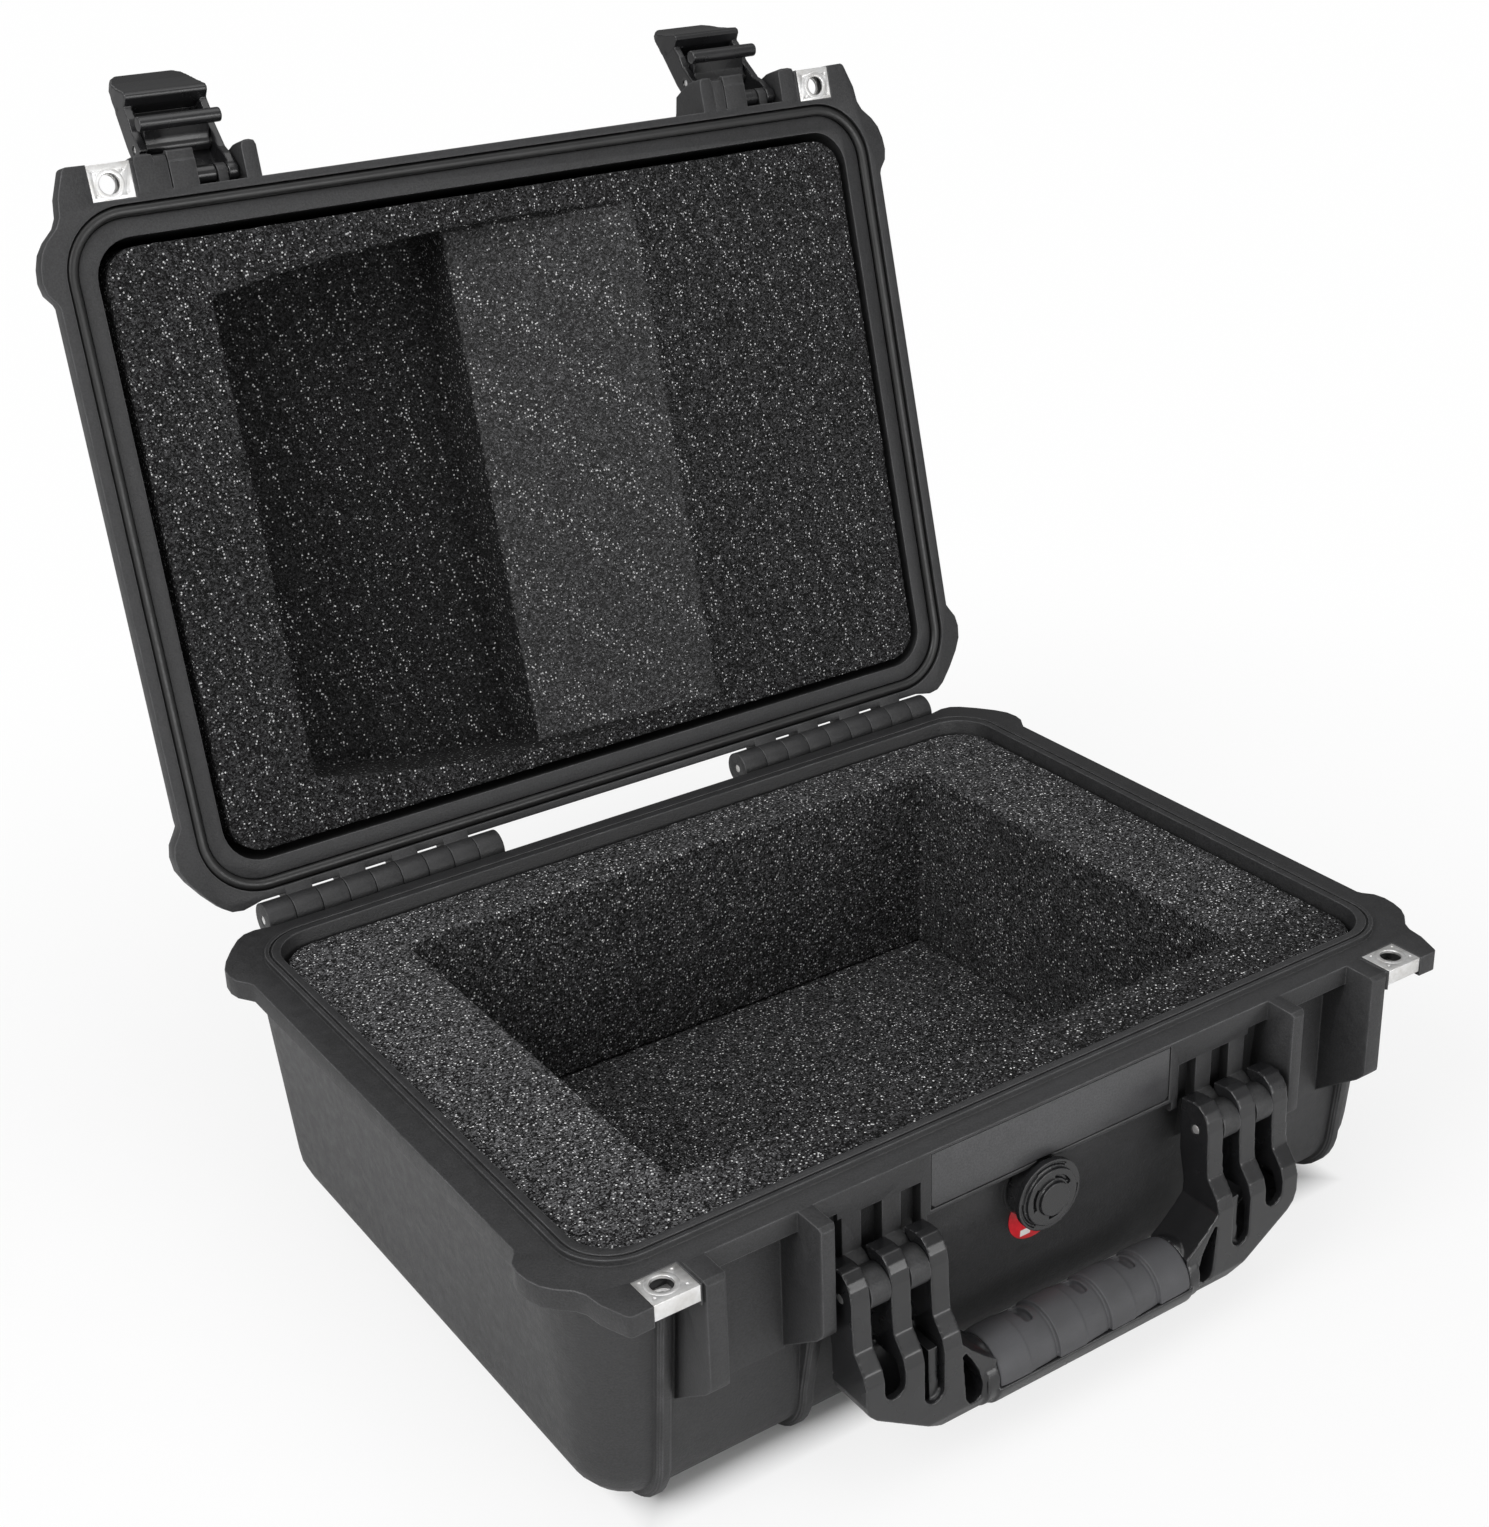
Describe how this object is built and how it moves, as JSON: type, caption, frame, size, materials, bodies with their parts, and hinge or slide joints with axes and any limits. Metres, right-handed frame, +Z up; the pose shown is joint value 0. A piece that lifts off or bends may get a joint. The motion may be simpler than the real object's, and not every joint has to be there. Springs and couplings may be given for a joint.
{
  "type": "hard equipment case",
  "caption": "Hinged hard case with gasketed rim, double-throw latches, folding grip handle, purge valve, steel padlock plates and cut foam, shown open.",
  "frame": {"origin": "centre of the foot frame under the base, on the surface the case stands on", "axes": "+X to the right across the width, +Y to the hinges at the back, +Z up"},
  "size_m": [0.4166, 0.4642, 0.4489],
  "materials": {
    "case_polymer": "fine textured moulded polypropylene",
    "latch_plastic": "semi-gloss moulded plastic",
    "grip_rubber": "matte over-moulded rubber",
    "seal_rubber": "smooth seal rubber",
    "foam": "open-cell foam",
    "stainless": "satin stainless steel",
    "membrane": "vent membrane",
    "label_red": "printed label"
  },
  "bodies": {
    "base": {"base_shell": "case_polymer", "base_foam_walls": "foam", "base_foam_floor": "foam", "padlock_plate_base_left": "stainless", "padlock_plate_base_right": "stainless", "name_plate": "latch_plastic", "valve_body": "latch_plastic", "valve_cap": "latch_plastic", "valve_seal": "seal_rubber", "valve_nut": "latch_plastic", "valve_membrane": "membrane", "valve_label": "label_red", "hinge_pin_left": "stainless", "hinge_pin_right": "stainless", "handle_pin_left": "stainless", "handle_pin_right": "stainless"},
    "lid": {"lid_shell": "case_polymer", "lid_gasket": "seal_rubber", "lid_foam": "foam", "padlock_plate_lid_left": "stainless", "padlock_plate_lid_right": "stainless", "latch_pin_left": "stainless", "latch_pin_right": "stainless"},
    "latch_left": {"latch_lever_left": "latch_plastic", "hook_pin_left": "stainless"},
    "latch_right": {"latch_lever_right": "latch_plastic", "hook_pin_right": "stainless"},
    "hook_left": {"latch_hook_left": "latch_plastic"},
    "hook_right": {"latch_hook_right": "latch_plastic"},
    "handle": {"handle_frame": "latch_plastic", "handle_grip": "grip_rubber"}
  },
  "joints": [
    {"name": "lid_hinge", "type": "hinge", "parent": "base", "child": "lid", "pos_m": [0, 0.1557, 0.11681], "axis": [1, 0, 0], "range_deg": [-2, 104]},
    {"name": "latch_left_swing", "type": "hinge", "parent": "lid", "child": "latch_left", "pos_m": [-0.1345, 0.23942, 0.41254], "axis": [1, 0, 0], "range_deg": [-10, 121]},
    {"name": "latch_right_swing", "type": "hinge", "parent": "lid", "child": "latch_right", "pos_m": [0.1345, 0.23942, 0.41254], "axis": [1, 0, 0], "range_deg": [0, 131]},
    {"name": "hook_left_throw", "type": "hinge", "parent": "latch_left", "child": "hook_left", "pos_m": [-0.1345, 0.25604, 0.42279], "axis": [-1, 0, 0], "range_deg": [0, 22]},
    {"name": "hook_right_throw", "type": "hinge", "parent": "latch_right", "child": "hook_right", "pos_m": [0.1345, 0.25757, 0.41975], "axis": [-1, 0, 0], "range_deg": [0, 22]},
    {"name": "handle_swing", "type": "hinge", "parent": "base", "child": "handle", "pos_m": [0, -0.157, 0.0822], "axis": [-1, 0, 0], "range_deg": [0, 95]}
  ]
}
